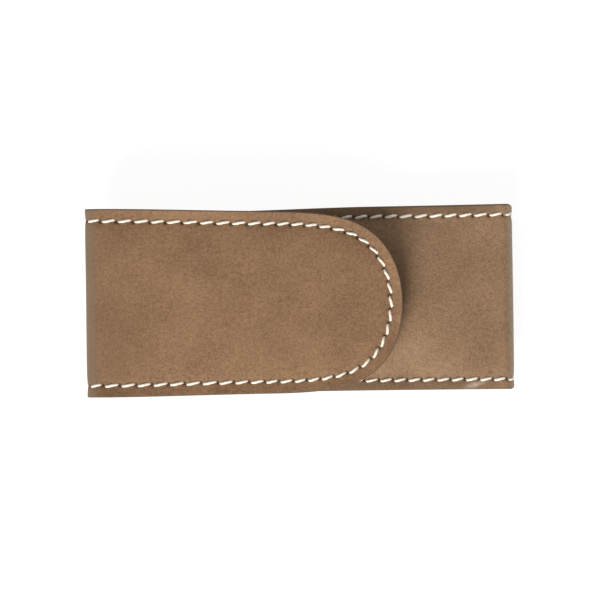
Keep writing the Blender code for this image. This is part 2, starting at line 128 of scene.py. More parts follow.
# Stitching
POUCH_LINE, FLAP_LINE, WALL_LINE = 3.1, 3.6, 3.4  # stitch line to cut edge
PITCH, LOWER_PITCH = 4.56, 4.35
FLAP_PITCH, FLAP_PITCH_STRAIGHT = 4.2, 4.95  # round the tongue and along the straight sides
TONGUE_SEWN = 40.0  # length of half the tongue's stitching, from the tip
HOLE_GAP = 0.35  # stitch end to the middle of its hole
HOLE_IN = 0.25  # holes lie this far inside the stitch line
HOLE_LONG, HOLE_WIDE, HOLE_DEEP = 0.42, 0.5, 0.6
HOLE_SPREAD = 0.12  # a hand-made hole's distance from its even place, at most
END_HOLE = {1: 0.8, -1: 1.2}  # the hole by the closed end, back from where the front begins
LAST_HOLE = 1.6  # nearest hole to the mouth
SLANT = 0.36
THREAD_R = 0.41
SINK, SINK_WIDE = 0.2, 2.6  # how far the thread pulls the seam down, and how wide
FOLD_STIFF = 0.8  # the share of that which the folds don't let happen
GROOVE, GROOVE_WIDE = 0.15, 1.0  # the line pressed in along the seam
FLAP_CURL = 0.88  # how far the flap's cut edge stands up beside its seam
POUCH_CURL = {1: -0.75, -1: 0.25}  # the same for the front's two edges
CORNER = {1: 1.25, -1: 0.7}  # rounding of the closed end's corners
CORNER_SHARE = 0.9  # the part of a quarter turn that a corner takes
SCUFF_S, SCUFF_Y, SCUFF_LONG, SCUFF_WIDE = 8.5, -26.5, 2.6, 0.7  # on the front, near the closed end
ROW_STEP, COLUMN_STEP, FLAP_COLUMN_STEP = 0.36, 2.2, 2.4
MIDDLE_REACH = 0.72  # how far the tongue's rows reach along its middle, as a share
SHEET_SHARP, THREAD_SHARP, METAL_SHARP = 62, 70, 50  # degrees between faces that keep a hard edge
SAME_PLACE, NO_LENGTH = 0.002, 0.001
EDGE_STEPS = (0.0, 0.05, 0.16, 0.32, 0.55, 0.9, 1.3)
SEAM_STEPS = (-1.25, -0.95, -0.7, -0.48, -0.25, 0.0, 0.25, 0.48, 0.7, 0.95, 1.25, 1.8, 2.6, 3.8)

# Seats cut into the leather for the snap
STUD_SEAT_R, STUD_SEAT_TOP, STUD_SEAT_BELOW = 5.8, 0.62, 0.6
CAP_SEAT_R, CAP_SEAT_DEEP = 6.3, 0.7
SEAT_WALL = 0.5


# Small helpers

def smooth(t):
    """From 0 to 1 with soft ends as t goes from 0 to 1."""
    t = np.clip(t, 0.0, 1.0)
    return t * t * (3 - 2 * t)


def mix(a, b, t):
    return a + (b - a) * t


def bell(distance, width):
    """1 at no distance, fading to 0 on both sides."""
    return np.exp(-(distance / width) ** 2)


def uneven(a, b, size):
    """Slow unevenness of a hand-made surface, from -1 to 1."""
    first = np.sin(a / size + 1.3 * np.sin(b / size * 0.7))
    second = np.sin(1.3 * b / size + 0.9 * np.sin(a / size * 0.6 + 2.0))
    return (first + second) / 2


def unit(vectors):
    return vectors / np.linalg.norm(vectors, axis=-1, keepdims=True)


def round_over(inset, radius=ROUND):
    """How far a rounded cut edge falls away at this distance from it."""
    near = np.minimum(inset, radius)
    return radius - np.sqrt(radius ** 2 - (radius - near) ** 2)


# Surfaces: unrolled places (s along, y across) to points in the frame, with outward normals

def half_width(x):
    return WAIST + FLARE * (x / RIGHT) ** 2


def tuck(x):
    """How far the pouch's upper edge is pulled in where it goes under the flap."""
    return (TUCK - TUCK_CHANGE * smooth((x - TUCK_FROM) / TUCK_OVER)) * smooth((x - FOLD_X) / TUCK_ALONG)


def back_outer(x, y):
    border = LIFT * smooth((x - FOLD_X) / LIFT_ALONG) * smooth((np.abs(y) - LIFT_FROM) / LIFT_OVER)
    return BACK_Z + mix(border, END_LOW, smooth((x - END_START_BACK) / (BEND_X - END_START_BACK)))


def front_outer(x, y):
    border = LIFT * smooth((x - FOLD_X) / LIFT_ALONG) + STACK
    across = np.minimum(np.abs(y) / (half_width(x) - MARGIN), 1.0)
    dome = (1 - across ** DOME_CORNER) ** DOME_FALL
    end = smooth((x - END_START_FRONT) / (BEND_X - END_START_FRONT))
    return BACK_Z + mix(border + (CENTRE - border) * dome, END_HIGH, end)


def flap_half_width(x):
    wide = FLAP_HALF + FLAP_FLARE * smooth((FOLD_X + FLARE_OVER - x) / FLARE_OVER)
    along = np.maximum((x - SHOULDER) / TONGUE, 0.0)
    return wide * np.sqrt(np.maximum(1 - along ** TONGUE_POWER, 0.0))


def flap_outer(x, y):
    lift = FLAP_RISE * smooth((x - FOLD_X) / RISE_OVER)
    droop = DROOP * smooth((x - FOLD_X) / DROOP_OVER) * (np.abs(y) / FLAP_HALF) ** DROOP_POWER
    return FLAP_TOP - FLAP_RISE + lift - droop


def slopes(height, x, y, step=0.02):
    along = (height(x + step, y) - height(x - step, y)) / (2 * step)
    across = (height(x, y + step) - height(x, y - step)) / (2 * step)
    return along, across


def pouch_surface(s, y):
    """The strip that runs down the wall, along the back, round the closed end and up the front."""
    s, y = np.broadcast_arrays(np.asarray(s, float), np.asarray(y, float))
    where = [s < S_FOLD, s < S_BACK, s < S_END, s < S_FRONT]
    turn = (S_BACK - s) / FOLD_R
    bend = (s - S_END) / END_R
    x = np.select(where, [LEFT + 0 * s, FOLD_X - FOLD_R * np.sin(turn), FOLD_X + s - S_BACK,
                          BEND_X + END_R * np.sin(bend)], BEND_X - (s - S_FRONT))
    low, high = back_outer(x, y), front_outer(x, y)
    z = np.select(where, [WALL_MIDDLE - s, LOW_CENTRE - FOLD_R * np.cos(turn), low,
                          BEND_Z - END_R * np.cos(bend)], high)
    (low_x, low_y), (high_x, high_y) = slopes(back_outer, x, y), slopes(front_outer, x, y)
    none, one = np.zeros_like(s), np.ones_like(s)
    nx = np.select(where, [-one, -np.sin(turn), low_x, np.sin(bend)], -high_x)
    ny = np.select(where, [none, none, low_y, none], -high_y)
    nz = np.select(where, [none, -np.cos(turn), -one, -np.cos(bend)], one)
    return np.stack([x, y, z], -1), unit(np.stack([nx, ny, nz], -1))


def flap_surface(s, y):
    """The strip that runs up the wall, over its fold and along the flap."""
    s, y = np.broadcast_arrays(np.asarray(s, float), np.asarray(y, float))
    where = [s < S_FOLD, s < S_BACK]
    turn = (S_BACK - s) / FOLD_R
    x = np.select(where, [LEFT + 0 * s, FOLD_X - FOLD_R * np.sin(turn)], FOLD_X + s - S_BACK)
    z = np.select(where, [WALL_MIDDLE + s, HIGH_CENTRE + FOLD_R * np.cos(turn)], flap_outer(x, y))
    along, across = slopes(flap_outer, x, y)
    none, one = np.zeros_like(s), np.ones_like(s)
    nx = np.select(where, [-one, -np.sin(turn)], -along)
    ny = np.select(where, [none, none], -across)
    nz = np.select(where, [none, np.cos(turn)], one)
    return np.stack([x, y - LEAN * (x - LEFT), z], -1), unit(np.stack([nx, ny, nz], -1))


# Meshes

def new_mesh(name, points, faces):
    """A mesh from points in millimetres."""
    mesh = bpy.data.meshes.new(name)
    mesh.from_pydata((points.reshape(-1, 3) * MM).tolist(), [], faces)
    return mesh


def give(mesh, key, values):
    """Stores a number or a vector for each point of a mesh, for its material."""
    values = np.asarray(values, np.float32).reshape(len(mesh.vertices), -1)
    kind, field = ("FLOAT_VECTOR", "vector") if values.shape[1] == 3 else ("FLOAT", "value")
    mesh.attributes.new(key, kind, "POINT").data.foreach_set(field, values.ravel())


def into_scene(name, data):
    made = bpy.data.objects.new(name, data)
    bpy.context.scene.collection.objects.link(made)
    return made


def closed_sheet(name, surface, spot, depths, marks, material, tip=False):
    """A closed sheet between two depths under a surface's grid of points and normals. Its grain follows spot,
    an (s, y). marks holds a pair of grids for each attribute, for the outer and the inner face. With tip, the
    last row is folded shut."""
    points, normals = surface
    rows, columns = points.shape[:2]
    count = rows * columns
    number = np.arange(count).reshape(rows, columns)

    def quads(a, b, c, d):
        return np.stack([a, b, c, d], -1).reshape(-1, 4)

    faces = [quads(number[:-1, :-1], number[1:, :-1], number[1:, 1:], number[:-1, 1:])]
    faces.append(count + faces[0][:, ::-1])
    for j, flip in ((0, 1), (columns - 1, -1)):
        here, after = number[:-1, j], number[1:, j]
        faces.append(quads(here, here + count, after + count, after)[:, ::flip])
    for i, flip in ((0, -1),) if tip else ((0, -1), (rows - 1, 1)):
        here, after = number[i, :-1], number[i, 1:]
        faces.append(quads(here, here + count, after + count, after)[:, ::flip])
    both_faces = np.stack([points - normals * depth[..., None] for depth in depths])
    mesh = new_mesh(name, both_faces, np.concatenate(faces).tolist())
    give(mesh, "strip", np.stack([np.stack([*spot, depth], -1) for depth in depths]))
    for key, pair in marks.items():
        give(mesh, key, np.stack(pair))
    return finished(name, mesh, material, SHEET_SHARP)


def finished(name, mesh, material, sharp):
    """Welds a mesh's doubles, turns it right side out, shades it smooth and puts it into the scene."""
    bm = bmesh.new()
    bm.from_mesh(mesh)
    bmesh.ops.remove_doubles(bm, verts=bm.verts, dist=SAME_PLACE * MM)
    bmesh.ops.dissolve_degenerate(bm, edges=bm.edges, dist=NO_LENGTH * MM)
    if bm.calc_volume(signed=True) < 0:
        bmesh.ops.reverse_faces(bm, faces=bm.faces)
    bm.to_mesh(mesh)
    bm.free()
    mesh.shade_smooth()
    mesh.set_sharp_from_angle(angle=math.radians(sharp))
    mesh.materials.append(material)
    return into_scene(name, mesh)


def stations(start, end, open_end=False):
    """Places along a strip. open_end crowds them where the strip ends in a rounded cut edge."""
    stop = end - EDGE_STEPS[-1] if open_end else end
    places = np.linspace(start, stop, int((stop - start) / ROW_STEP) + 1)
    return np.concatenate([places, end - np.array(EDGE_STEPS[-2::-1])]) if open_end else places


def border_insets(line):
    """Distances from the cut edge, close together at the edge and along the seam."""
    return np.array(list(EDGE_STEPS) + [line + d for d in SEAM_STEPS])


def insets_to(middle, line):
    """Distances from the cut edge to the middle, with wider steps inside the seam."""
    near = border_insets(line)
    inner = np.linspace(near[-1], middle, int((middle - near[-1]) / COLUMN_STEP) + 1)[1:]
    return np.concatenate([near, inner])


def press(s, inset, line, holes, sink=SINK):
    """How deep the stitching presses the leather, with the marks of the seam and of its needle holes."""
    at = np.clip(np.searchsorted(holes, s), 1, len(holes) - 1)
    nearest = np.where(s - holes[at - 1] < holes[at] - s, holes[at - 1], holes[at])
    along, across = s - nearest, inset - line
    hole = bell(along, HOLE_LONG) * bell(across - HOLE_IN, HOLE_WIDE)
    seam = bell(across, GROOVE_WIDE)
    return GROOVE * seam + sink * bell(across, SINK_WIDE) + HOLE_DEEP * hole, seam, hole


def curl(inset, line):
    """Share of the curl of a margin: 0 at its seam, 1 at its cut edge."""
    return np.clip((line - inset) / line, 0, 1) ** 1.5


# Where the needle went

def flap_outline():
    """Rows of the flap: unrolled outline, inward direction and length along the stitch line, wall to tip."""
    angles = np.linspace(math.pi / 2, 0.0, 4000)
    fine_x = SHOULDER + TONGUE * np.cos(angles) ** (2 / TONGUE_POWER)
    fine_x[0], fine_x[-1] = SHOULDER, TIP_X
    fine = np.stack([fine_x, flap_half_width(fine_x)], -1)
    long = np.concatenate([[0.0], np.cumsum(np.linalg.norm(np.diff(fine, axis=0), axis=1))])
    places = np.linspace(0.0, long[-1], int(long[-1] / ROW_STEP) + 1)
    tongue = np.stack([np.interp(places, long, fine[:, k]) for k in (0, 1)], -1)
    tongue[:, 0] += S_BACK - FOLD_X
    straight_s = stations(0.0, S_BACK + SHOULDER - FOLD_X)[:-1]
    wide = flap_half_width(np.maximum(straight_s - S_BACK + FOLD_X, FOLD_X))
    wall = 1 - smooth(straight_s / S_FOLD)
    straight = np.stack([straight_s, mix(wide, half_width(LEFT), wall)], -1)
    outline = np.concatenate([straight, tongue])
    ahead = np.concatenate([outline[1:], [outline[-2] * (1, -1)]])
    behind = np.concatenate([outline[:1], outline[:-1]])
    going = unit(ahead - behind)
    inward = np.stack([going[:, 1], -going[:, 0]], -1)
    inward[0], inward[-1] = (0.0, -1.0), (-1.0, 0.0)
    line = mix(FLAP_LINE, WALL_LINE, 1 - smooth((outline[:, 0] - S_FOLD) / FOLD_ARC))
    seam = outline + inward * line[:, None]
    sewn = np.concatenate([[0.0], np.cumsum(np.linalg.norm(np.diff(seam, axis=0), axis=1))])
    return outline, inward, line, sewn


OUTLINE, INWARD, LINE, SEWN = flap_outline()
chance = np.random.default_rng(11)


def flap_holes():
    """Needle holes of one half of the flap, as lengths along the stitch line, from the wall to the tip."""
    back = [FLAP_PITCH / 2]
    while back[-1] < SEWN[-1] - FLAP_PITCH:
        straight = smooth((back[-1] - TONGUE_SEWN) / 25)
        back.append(back[-1] + mix(FLAP_PITCH, FLAP_PITCH_STRAIGHT, straight))
    holes = SEWN[-1] - np.array(back[::-1])
    holes[:-1] += chance.uniform(-HOLE_SPREAD, HOLE_SPREAD, len(holes) - 1)
    return np.append(holes, SEWN[-1] + FLAP_PITCH / 2)


def pouch_holes(first_up, pitch, anchor):
    """Needle holes along the pouch's strip, joining those of the flap's strip above the wall's middle."""
    start = -first_up
    count = round((anchor - start) / pitch)
    low = np.linspace(start, anchor, count + 1)
    high = np.arange(anchor + pitch, S_MOUTH - LAST_HOLE, pitch)
    holes = np.concatenate([low, high])
    holes[1:] += chance.uniform(-HOLE_SPREAD, HOLE_SPREAD, len(holes) - 1)
    return holes


FLAP_HOLES = {1: flap_holes(), -1: flap_holes()}
POUCH_HOLES = {side: pouch_holes(FLAP_HOLES[side][0], pitch, S_FRONT - END_HOLE[side])
               for side, pitch in ((1, PITCH), (-1, LOWER_PITCH))}


def pouch_line(s):
    return mix(WALL_LINE, POUCH_LINE, smooth((s - S_FOLD) / FOLD_ARC))


# Leather and suede

def strip_grid(start, end, open_end=False, trim=0.0):
    """Unrolled places across the pouch's strip: s, y and the distance from the cut edge."""
    s = stations(start, end, open_end)
    x = pouch_surface(s, 0.0)[0][:, X][:, None]
    insets = insets_to(END_HALF, POUCH_LINE)
    share = 1 - insets / END_HALF
    share = np.concatenate([-share, share[-2::-1]])[None, :]
    half = half_width(x) - np.where(share > 0, corner(x, CORNER[1]) + tuck(x), corner(x, CORNER[-1]))
    y = share * (half - trim)
    return s[:, None] + 0 * y, y, (1 - np.abs(share)) * half


def corner(x, radius):
    """How far a rounded corner of the closed end draws its edge in."""
    past = CORNER_SHARE * np.clip(x - (RIGHT - radius), 0, radius)
    return radius - np.sqrt(radius ** 2 - past ** 2)


def on_fold(s):
    """1 on the tight folds at both ends of the pouch's strip, 0 elsewhere."""
    left = smooth((s - S_FOLD + 1) / 3) * smooth((S_BACK + 2 - s) / 3)
    return left + smooth((s - S_END + 1) / 3) * smooth((S_FRONT + 1 - s) / 3)


def from_cut(s, inset, open_end, end):
    return np.minimum(inset, np.abs(end - s)) if open_end else inset


def cut_edge(distance):
    """1 on the burnished cut edge, 0 on the faces."""
    return 1 - smooth((distance - 0.12) / 0.4)


def painted_fold_shade(s):
    """1 on the folds at both ends of the end wall, which get painted shade and sheen greying, 0 elsewhere."""
    return smooth((s - S_FOLD + 1) / 3) * smooth((S_BACK + 1.5 - s) / 3)


def leather_marks(edge, **outside):
    """The attributes of a piece of leather. Those that aren't given are 0."""
    none = np.zeros_like(edge)
    marks = {key: (outside.get(key, none), none)
             for key in ("seam", "hole", "handled", "fold", "bleach", "faded", "scuff")}
    return {**marks, "edge": (edge, edge), "flesh": (none, none + 1)}


def near_snap(points, radius):
    away = np.hypot(points[..., X] - SNAP_X, points[..., Y] - SNAP_Y)
    return 1 - smooth((away - radius) / SEAT_WALL)


def pouch_curl(s, y, inset, line):
    """How far the front's margins stand up beside their seams. Below 0 they hang down."""
    most = np.where(y > 0, POUCH_CURL[1], POUCH_CURL[-1])
    return most * curl(inset, line) * smooth((s - S_FRONT - 1) / 12)


def pouch_leather(name, start, end, open_end=False):
    """The 2 mm leather of a stretch of the pouch's strip."""
    s, y, inset = strip_grid(start, end, open_end=open_end)
    points, normals = pouch_surface(s, y)
    cut = from_cut(s, inset, open_end, end)
    line = pouch_line(s)
    sink = SINK * (1 - FOLD_STIFF * on_fold(s))
    upper, lower = (press(s, inset, line, POUCH_HOLES[side], sink) for side in (1, -1))
    pressed, seam, hole = (np.where(y > 0, a, b) for a, b in zip(upper, lower))
    seat = np.where(s > S_FRONT, near_snap(points, STUD_SEAT_R), 0.0)
    raised = pouch_curl(s, y, inset, line)
    rough = 0.05 * uneven(s, y, 9.0) * smooth(s / 4)
    depth = round_over(cut) + pressed - raised + STUD_SEAT_TOP * seat + rough
    far = LEATHER - round_over(cut) - raised - STUD_SEAT_BELOW * seat
    # Painted sheen: the closed end's fold is paled and greyed where it turns away.
    bleach = 1 - smooth((np.abs(s - (S_END + S_FRONT) / 2) - 1.2) / 3.2)
    # Painted shade: the front's borders are darkened, the upper one more, for the flap's shadow and for their
    # tilt away from the light.
    in_border = smooth((line + 0.4 - inset) / 0.8)
    handled = in_border * np.where(y > 0, 0.75, 0.35) * smooth((s - S_FRONT) / 3)
    past_scuff = s - S_FRONT - SCUFF_S
    scuff = bell(past_scuff, SCUFF_LONG) * bell(y - SCUFF_Y + 0.25 * past_scuff, SCUFF_WIDE)
    marks = leather_marks(cut_edge(cut), seam=seam, hole=hole, handled=handled, fold=painted_fold_shade(s),
                          bleach=bleach, faded=smooth((s - S_END) / 6), scuff=scuff)
    return closed_sheet(name, (points, normals), (s, y), (depth, far), marks, NUBUCK)


def pouch_lining(name, start, end, open_end=False):
    """The suede glued inside a stretch of the pouch's strip."""
    s, y, inset = strip_grid(start, end, open_end=open_end, trim=SUEDE_TRIM)
    cut = from_cut(s, inset, open_end, end)
    turned_in = round_over(cut, SUEDE_ROUND)
    border = 1 - smooth((inset - MARGIN) / 1.5)
    thick = mix(LINING, SEAM_LINING, border) + 0.03 * uneven(s, y, 4.0) * (1 - border)
    high = LEATHER + HAIR + turned_in - pouch_curl(s, y, inset, pouch_line(s))
    low = LEATHER + HAIR + thick - turned_in
    marks = {"edge": [1 - smooth(cut / SUEDE_ROUND)] * 2}
    return closed_sheet(name, pouch_surface(s, y), (s, y), (high, low), marks, SUEDE)


def flap_grid(trim=0.0):
    """Unrolled places across the flap's strip, in rows from its outline to its middle and back out."""
    middle_s = np.where(OUTLINE[:, 0] > S_BACK + SHOULDER - FOLD_X,
                        mix(S_BACK + SHOULDER - FOLD_X, OUTLINE[:, 0], MIDDLE_REACH), OUTLINE[:, 0])
    near = border_insets(FLAP_LINE)
    rings = [OUTLINE + INWARD * (trim + d * (1 - trim / near[-1])) for d in near]
    insets = [np.full(len(OUTLINE), d) for d in near]
    middle = np.stack([middle_s, 0 * middle_s], -1)
    count = int((FLAP_HALF - near[-1]) / FLAP_COLUMN_STEP)
    for share in np.linspace(0, 1, count + 1)[1:]:
        rings.append(mix(rings[len(near) - 1], middle, share))
        insets.append(mix(near[-1], FLAP_HALF, share) + 0 * middle_s)
    flat, inset = np.stack(rings, 1), np.stack(insets, 1)
    mirrored = flat[:, ::-1] * (1, -1)
    flat = np.concatenate([mirrored[:, ::-1], flat[:, -2::-1]], 1)
    inset = np.concatenate([inset, inset[:, -2::-1]], 1)
    return flat[..., 0], flat[..., 1], inset


def flap_press(s, inset, sink=SINK):
    """What press() says for the flap's two halves together, and how far the flap's margin stands up."""
    line = LINE[:, None] + 0 * s
    sewn = SEWN[:, None] + 0 * s
    upper, lower = (press(sewn, inset, line, FLAP_HOLES[side], sink) for side in (1, -1))
    side_up = np.arange(s.shape[1])[None, :] >= s.shape[1] // 2
    raised = FLAP_CURL * curl(inset, line) * smooth((s - S_FOLD) / 9)
    return *(np.where(side_up, a, b) for a, b in zip(upper, lower)), raised


def flap_leather(name):
    s, y, inset = flap_grid()
    points, normals = flap_surface(s, y)
    sink = SINK * (1 - FOLD_STIFF * on_fold(s) * (s < S_BACK + 2))
    pressed, seam, hole, raised = flap_press(s, inset, sink)
    seat = np.where(s > S_BACK + 20, near_snap(points, CAP_SEAT_R), 0.0)
    depth = round_over(inset) + pressed - raised + 0.05 * uneven(s, y, 10.0) * smooth(s / 4)
    far = LEATHER - round_over(inset) - raised - CAP_SEAT_DEEP * seat
    # Painted shade: the flap is darkened just past the wall's fold, where it slopes.
    marks = leather_marks(cut_edge(inset), seam=seam, hole=hole, handled=0.3 * bell(s - S_BACK - 4, 8),
                          fold=painted_fold_shade(s))
    return closed_sheet(name, (points, normals), (-s, y), (depth, far), marks, NUBUCK, tip=True)


def flap_lining(name):
    s, y, inset = flap_grid(trim=FLAP_SUEDE_TRIM)
    turned_in = round_over(inset, SUEDE_ROUND)
    pressed, _, _, raised = flap_press(s, inset)
    pressed = pressed * (s > S_BACK)
    high = LEATHER + HAIR + turned_in - raised
    low = LEATHER + HAIR + LINING - turned_in - raised - 0.5 * pressed + 0.03 * uneven(s, y, 4.0)
    marks = {"edge": [1 - smooth(inset / SUEDE_ROUND)] * 2}
    return closed_sheet(name, flap_surface(s, y), (-s, y), (high, low), marks, SUEDE, tip=True)


# Saddle stitches

STITCH_RINGS, STITCH_SIDES = 17, 12
STRANDS, TWIST, STRAND_DEEP = 3, 5.5, 0.07
WIDE, FLAT = 1.06, 0.9  # the thread is pulled a little flat
STITCH_LOW, STITCH_HIGH = -1.15, -0.17  # the thread's middle over the leather, in its hole and between holes


def stitch_tubes(name, centres, normals, material):
    """Short runs of twisted thread. centres and normals have a row of points for each stitch."""
    going = unit(np.gradient(centres, axis=1))
    up = unit(normals - going * (normals * going).sum(-1, keepdims=True))
    beside = np.cross(going, up)
    t = np.linspace(0, 1, STITCH_RINGS)[None, :, None]
    turn = np.linspace(0, 2 * math.pi, STITCH_SIDES, endpoint=False)[None, None, :]
    swell = 0.72 + 0.28 * np.sin(math.pi * np.clip(t, 0.03, 0.97)) ** 0.35
    r = THREAD_R * swell * (1 + STRAND_DEEP * np.cos(STRANDS * (turn - TWIST * t)))
    points = (centres[:, :, None, :] + beside[:, :, None, :] * (r * np.cos(turn) * WIDE)[..., None]
              + up[:, :, None, :] * (r * np.sin(turn) * FLAT)[..., None])
    count = centres.shape[0]
    number = np.arange(count * STITCH_RINGS * STITCH_SIDES).reshape(count, STITCH_RINGS, STITCH_SIDES)
    after = np.roll(number, -1, axis=2)
    walls = np.stack([number[:, :-1], after[:, :-1], after[:, 1:], number[:, 1:]], -1).reshape(-1, 4)
    faces = walls.tolist() + number[:, 0, ::-1].tolist() + number[:, -1].tolist()
    mesh = new_mesh(name, points, faces)
    which = np.arange(count)[:, None, None] * 3.7  # every stitch has its own stretch of the thread's pattern
    give(mesh, "strip", np.stack(np.broadcast_arrays(t * PITCH, turn * THREAD_R, which), -1))
    return finished(name, mesh, material, THREAD_SHARP)


def stitch_profile(holes):
    """Places along each stitch, its share of the slant (-1 to 1) and its height over the leather."""
    t = np.linspace(0, 1, STITCH_RINGS)[None, :]
    first, last = holes[:-1, None] + HOLE_GAP, holes[1:, None] - HOLE_GAP
    place = mix(first, last, t)
    slant = mix(2 * t - 1, 2 * smooth(t) - 1, 0.6)
    height = mix(STITCH_LOW, STITCH_HIGH, np.sin(math.pi * t) ** 0.5)
    loose = chance.uniform(-0.05, 0.07, (len(holes) - 1, 1))
    return place, slant, height + loose * np.sin(math.pi * t)


def pouch_stitches(name, side, start, end):
    """The stitches of one side seam of the pouch whose holes lie between start and end."""
    holes = POUCH_HOLES[side]
    holes = holes[(holes >= start - 0.01) & (holes <= end + 0.01)]
    s, slant, height = stitch_profile(holes)
    x = pouch_surface(s, 0.0)[0][..., X]
    edge = half_width(x) - (tuck(x) if side > 0 else 0)
    y = side * (edge - pouch_line(s)) - SLANT * slant
    points, normals = pouch_surface(s, y)
    return stitch_tubes(name, points + normals * height[..., None], normals, THREAD)


def flap_stitch_places(sewn, side, slant):
    """Unrolled places along the flap's stitch line, which carries on past the tip to the other side."""
    over = sewn > SEWN[-1]
    sewn = np.where(over, 2 * SEWN[-1] - sewn, sewn)
    s, y = (np.interp(sewn, SEWN, OUTLINE[:, k]) for k in (0, 1))
    in_s, in_y = (np.interp(sewn, SEWN, INWARD[:, k]) for k in (0, 1))
    inset = np.interp(sewn, SEWN, LINE) - side * SLANT * slant
    y = np.where(over, -1, 1) * (y + in_y * inset)
    return s + in_s * inset, side * y


def flap_stitches(name):
    """All stitches of the flap: on the leather, and under it on the suede."""
    rows = []
    for side in (1, -1):
        holes = FLAP_HOLES[side]
        if side < 0:
            holes = holes[:-1]
        sewn, slant, height = stitch_profile(holes)
        s, y = flap_stitch_places(sewn, side, slant)
        points, normals = flap_surface(s, y)
        rows.append((points + normals * height[..., None], normals))
        s, y = flap_stitch_places(sewn, side, -slant)
        points, normals = flap_surface(s, y)
        below = (height + LEATHER + LINING - 0.02)[..., None]
        flat = (s > S_BACK + 1).all(axis=1)
        rows.append(((points - normals * below)[flat], -normals[flat]))
    return stitch_tubes(name, *(np.concatenate(part) for part in zip(*rows)), THREAD)


# Belt loop

LOOP_FLAT, LOOP_BEND, LOOP_TURN, LOOP_SEAM = 24.0, 1.8, math.radians(58), 33.0
LOOP_GAP = BACK_Z - side_of("belt_loop", 1, Z)
LOOP_STEP, LOOP_COLUMN_STEP = 0.3, 0.5
LOOP_SEAM_END, LOOP_HOLE_COUNT = 1.9, 8
LOOP_OFF = 400  # the loop takes its grain from elsewhere on the hide than the long strip


def loop_line():
    """Outer face of the loop and its outward normals, from one stitched end to the other, with lengths."""
    rise = side_of("belt_loop", 1, Z) - LEATHER
    straight = (rise - 2 * LOOP_BEND * (1 - math.cos(LOOP_TURN))) / math.sin(LOOP_TURN)
    runs = [(LOOP_FLAT, 0.0), (LOOP_BEND, LOOP_TURN), (straight, 0.0), (LOOP_BEND, -LOOP_TURN)]
    reached = LOOP_FLAT + 2 * LOOP_BEND * math.sin(LOOP_TURN) + straight * math.cos(LOOP_TURN)
    runs.append((LOOP_END - reached, 0.0))
    x, z, heading = [0.0], [LEATHER / 2], [0.0]
    for size, turn in runs:
        length = abs(size * turn) if turn else size
        count = max(int(length / ROW_STEP), 2)
        for _ in range(count):
            middle = heading[-1] + turn / count / 2
            x.append(x[-1] + length / count * math.cos(middle))
            z.append(z[-1] + length / count * math.sin(middle))
            heading.append(heading[-1] + turn / count)
    x, z, heading = (np.array(v) for v in (x, z, heading))
    middle = np.stack([x, 0 * x, z], -1)
    down = np.stack([np.sin(heading), 0 * x, -np.cos(heading)], -1)
    line = np.concatenate([middle[:0:-1] * (-1, 1, 1), middle])
    down = np.concatenate([down[:0:-1] * (-1, 1, 1), down])
    face = line + down * LEATHER / 2
    gone = np.concatenate([[0.0], np.cumsum(np.linalg.norm(np.diff(line, axis=0), axis=1))])
    return face, down, gone


LOOP_FACE, LOOP_DOWN, LOOP_GONE = loop_line()
LOOP_HOLES = np.linspace(LOOP_SEAM_END - LOOP_HALF_WIDTH, LOOP_HALF_WIDTH - LOOP_SEAM_END, LOOP_HOLE_COUNT)


def loop_surface(s, y):
    s, y = np.broadcast_arrays(np.asarray(s, float), np.asarray(y, float))
    points = np.stack([np.interp(s, LOOP_GONE, LOOP_FACE[:, k]) for k in range(3)], -1)
    normals = np.stack([np.interp(s, LOOP_GONE, LOOP_DOWN[:, k]) for k in range(3)], -1)
    points[..., Y] = y
    return points, unit(normals)


def belt_loop(name):
    total = LOOP_GONE[-1]
    tight, insets = (np.append(EDGE_STEPS, np.arange(EDGE_STEPS[-1] + step, middle, step))
                     for step, middle in ((LOOP_STEP, total / 2), (LOOP_COLUMN_STEP, LOOP_HALF_WIDTH)))
    s = np.concatenate([tight, total - tight[::-1]])[:, None]
    y = np.concatenate([insets - LOOP_HALF_WIDTH, (LOOP_HALF_WIDTH - insets)[::-1]])[None, :]
    s, y = np.broadcast_arrays(s, y)
    inset = LOOP_HALF_WIDTH - np.abs(y)
    from_end = np.minimum(s, total - s)
    cut = np.minimum(inset, from_end)
    points, normals = loop_surface(s, y)
    seam_inset = LOOP_END - LOOP_SEAM
    in_seam = smooth((inset - 1.0) / 0.8)
    pressed, seam, hole = (v * in_seam for v in press(y, from_end, seam_inset, LOOP_HOLES))
    depth = round_over(cut) + pressed + 0.04 * (1 + uneven(s, y, 7.0))
    sewn_down = 1 - smooth((from_end - 4.0) / 2.0)
    far = LEATHER - round_over(cut) + (LOOP_GAP - HAIR) * sewn_down
    # The loop's bends take the folds' darker, greyer colour.
    bend = bell(np.abs(points[..., X]) - LOOP_FLAT - 1.0, 1.6)
    marks = leather_marks(cut_edge(cut), seam=seam, hole=hole, fold=bend)
    return closed_sheet(name, (points, normals), (s + LOOP_OFF, y), (depth, far), marks, NUBUCK)


def loop_stitches(name, at_end):
    """The seam across one end of the loop."""
    y, slant, height = stitch_profile(LOOP_HOLES)
    from_end = LOOP_END - LOOP_SEAM + SLANT * slant
    s = LOOP_GONE[-1] - from_end if at_end else from_end
    points, normals = loop_surface(s, y)
    return stitch_tubes(name, points + normals * height[..., None], normals, THREAD)


# Snap fastener

TURNED_ROUND, TURNED_SIDES = 0.12, 72
STUD_BELOW, STUD_FLANGE = 0.2, 0.6  # the stud's profile starts under its flange, which lies on the leather
RING_R, RING_Z, WIRE_R, WIRE_SIDES = 3.15, 0.52, 0.22, 16  # the spring ring in its socket


